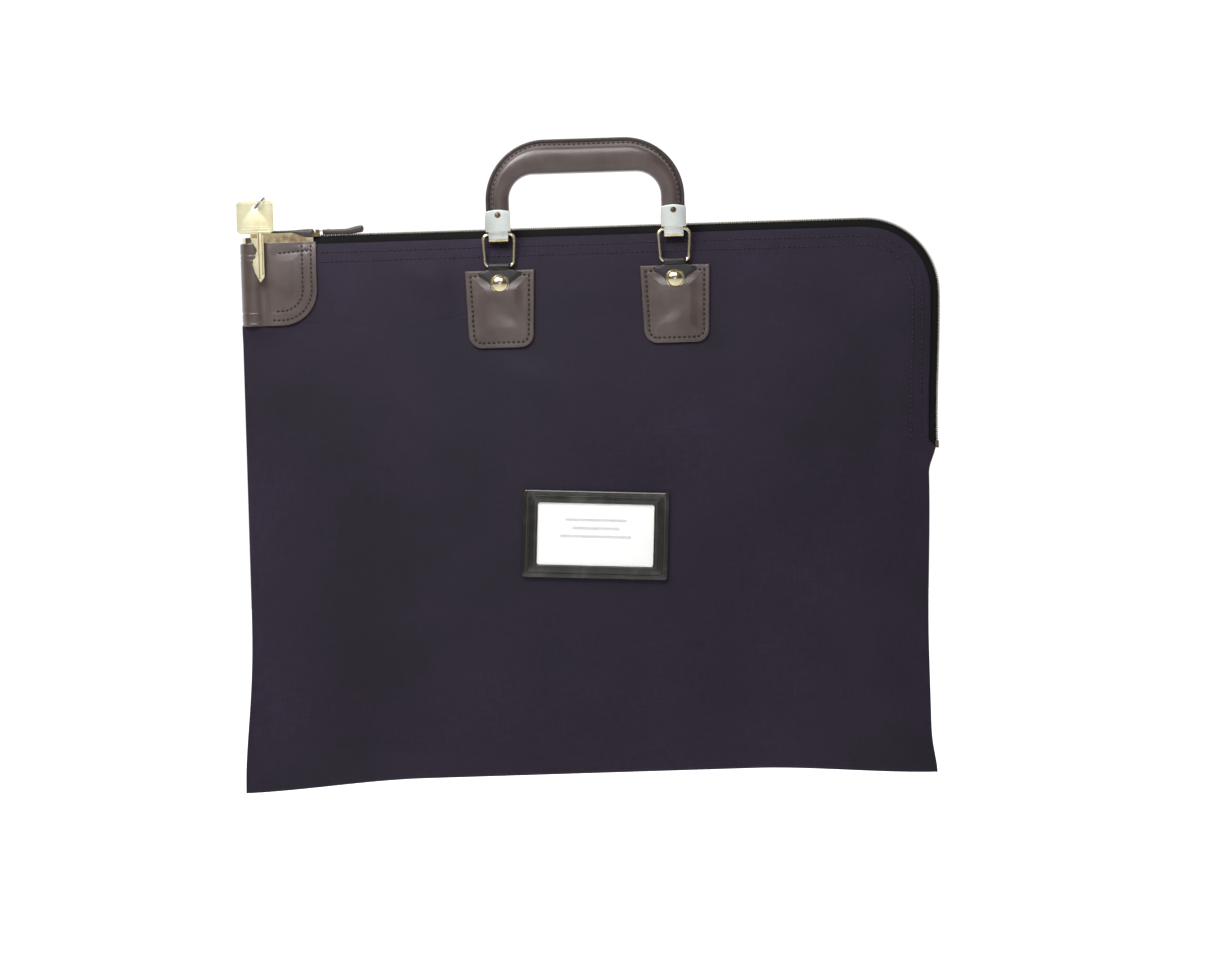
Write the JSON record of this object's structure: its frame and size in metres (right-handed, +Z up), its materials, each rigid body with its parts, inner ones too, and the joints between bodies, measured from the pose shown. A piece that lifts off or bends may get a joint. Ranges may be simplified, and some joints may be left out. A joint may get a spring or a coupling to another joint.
{
  "type": "locking cash deposit bag",
  "caption": "Flat zippered bag with a corner key lock, a padded handle hung on wire rings and a card window on its front.",
  "frame": {"origin": "midway between the two chapes, on the axis that the handle rings turn on", "axes": "+X to the right along the bag's top edge, -Y out of the front, +Z up"},
  "size_m": [0.5202, 0.0345, 0.4718],
  "materials": {
    "nylon": "fine dark purple-navy nylon weave",
    "tape": "woven zipper tape",
    "zipper_brass": "antique brass teeth",
    "leather": "satin brown leather",
    "dark_leather": "dark brown leather",
    "brass": "polished brass",
    "key_metal": "worn pale brass",
    "nickel": "bright nickel",
    "steel": "steel",
    "foam": "foam",
    "vinyl": "glossy black vinyl",
    "clear": "clear vinyl",
    "card": "white card"
  },
  "bodies": {
    "bag": {"front_panel": "nylon", "back_panel": "nylon", "seam_binding": "tape", "zipper_tape_front": "tape", "zipper_tape_back": "tape", "zipper_chain": "zipper_brass", "zipper_top_stop": "zipper_brass", "zipper_end_stop": "zipper_brass", "corner_patch_front": "leather", "corner_patch_back": "leather", "corner_roll": "leather", "lock_case": "brass", "lock_rail": "brass", "lock_strap": "dark_leather", "lock_barrel": "brass", "bolt_spring": "steel", "tab_left": "leather", "tab_right": "leather", "chape_left": "dark_leather", "chape_right": "dark_leather", "tab_rivets": "brass", "rivet_washers": "nickel", "tab_backings": "dark_leather", "window_backing": "vinyl", "window_frame": "vinyl", "window_pane": "clear"},
    "ring_left": {"ring_left": "brass"},
    "ring_right": {"ring_right": "brass"},
    "handle": {"handle_core": "steel", "handle_padding": "foam", "handle_cover": "leather", "handle_flange": "dark_leather", "collar_left": "nickel", "collar_right": "nickel", "collar_rivets": "brass"},
    "slider": {"slider_body": "brass", "slider_hasp": "brass"},
    "pull": {"pull_link": "brass", "pull_tab": "dark_leather", "pull_rivet": "brass"},
    "plug": {"lock_plug": "brass", "plug_cam": "brass", "lock_wafers": "brass"},
    "bolt": {"lock_bolt": "steel"},
    "key": {"key": "key_metal"},
    "key_ring": {"key_ring": "steel"},
    "card": {"window_card": "card"}
  },
  "joints": [
    {"name": "ring_left_swing", "type": "hinge", "parent": "bag", "child": "ring_left", "pos_m": [-0.0641, 0, 0], "axis": [1, 0, 0], "range_deg": [0, 155]},
    {"name": "ring_right_swing", "type": "hinge", "parent": "bag", "child": "ring_right", "pos_m": [0.0641, 0, 0], "axis": [1, 0, 0], "range_deg": [0, 155]},
    {"name": "handle_swing", "type": "hinge", "parent": "ring_left", "child": "handle", "pos_m": [-0.0641, 0, 0.0234], "axis": [-1, 0, 0], "range_deg": [-145, 15]},
    {"name": "zipper_slide", "type": "slide", "parent": "bag", "child": "slider", "axis": [1, 0, 0], "range_m": [0, 0.4]},
    {"name": "pull_swing", "type": "hinge", "parent": "slider", "child": "pull", "pos_m": [-0.1968, 0.01021, 0.03072], "axis": [0, -1, 0], "range_deg": [0, 130]},
    {"name": "plug_turn", "type": "hinge", "parent": "bag", "child": "plug", "pos_m": [-0.245, 0.01021, 0.02287], "axis": [0, 0, 1], "range_deg": [0, 90]},
    {"name": "bolt_lift", "type": "slide", "parent": "bag", "child": "bolt", "axis": [0, 0, 1], "range_m": [0, 0.0016], "deforming": ["bolt_spring"]},
    {"name": "key_lift", "type": "slide", "parent": "bag", "child": "key", "axis": [0, -1, 0], "range_m": [0, 0.06]},
    {"name": "key_ring_swing", "type": "hinge", "parent": "key", "child": "key_ring", "pos_m": [-0.2416, -0.00009, 0.04797], "axis": [0, 1, 0], "range_deg": [-90, 0]},
    {"name": "card_slide", "type": "slide", "parent": "bag", "child": "card", "axis": [0.9984, 0, -0.0558], "range_m": [0, 0.09]}
  ],
  "couplings": [
    {"joint": "ring_right_swing", "follows": "ring_left_swing", "ratio": 1},
    {"joint": "bolt_lift", "follows": "plug_turn", "m_per_rad": 0.0010185}
  ]
}
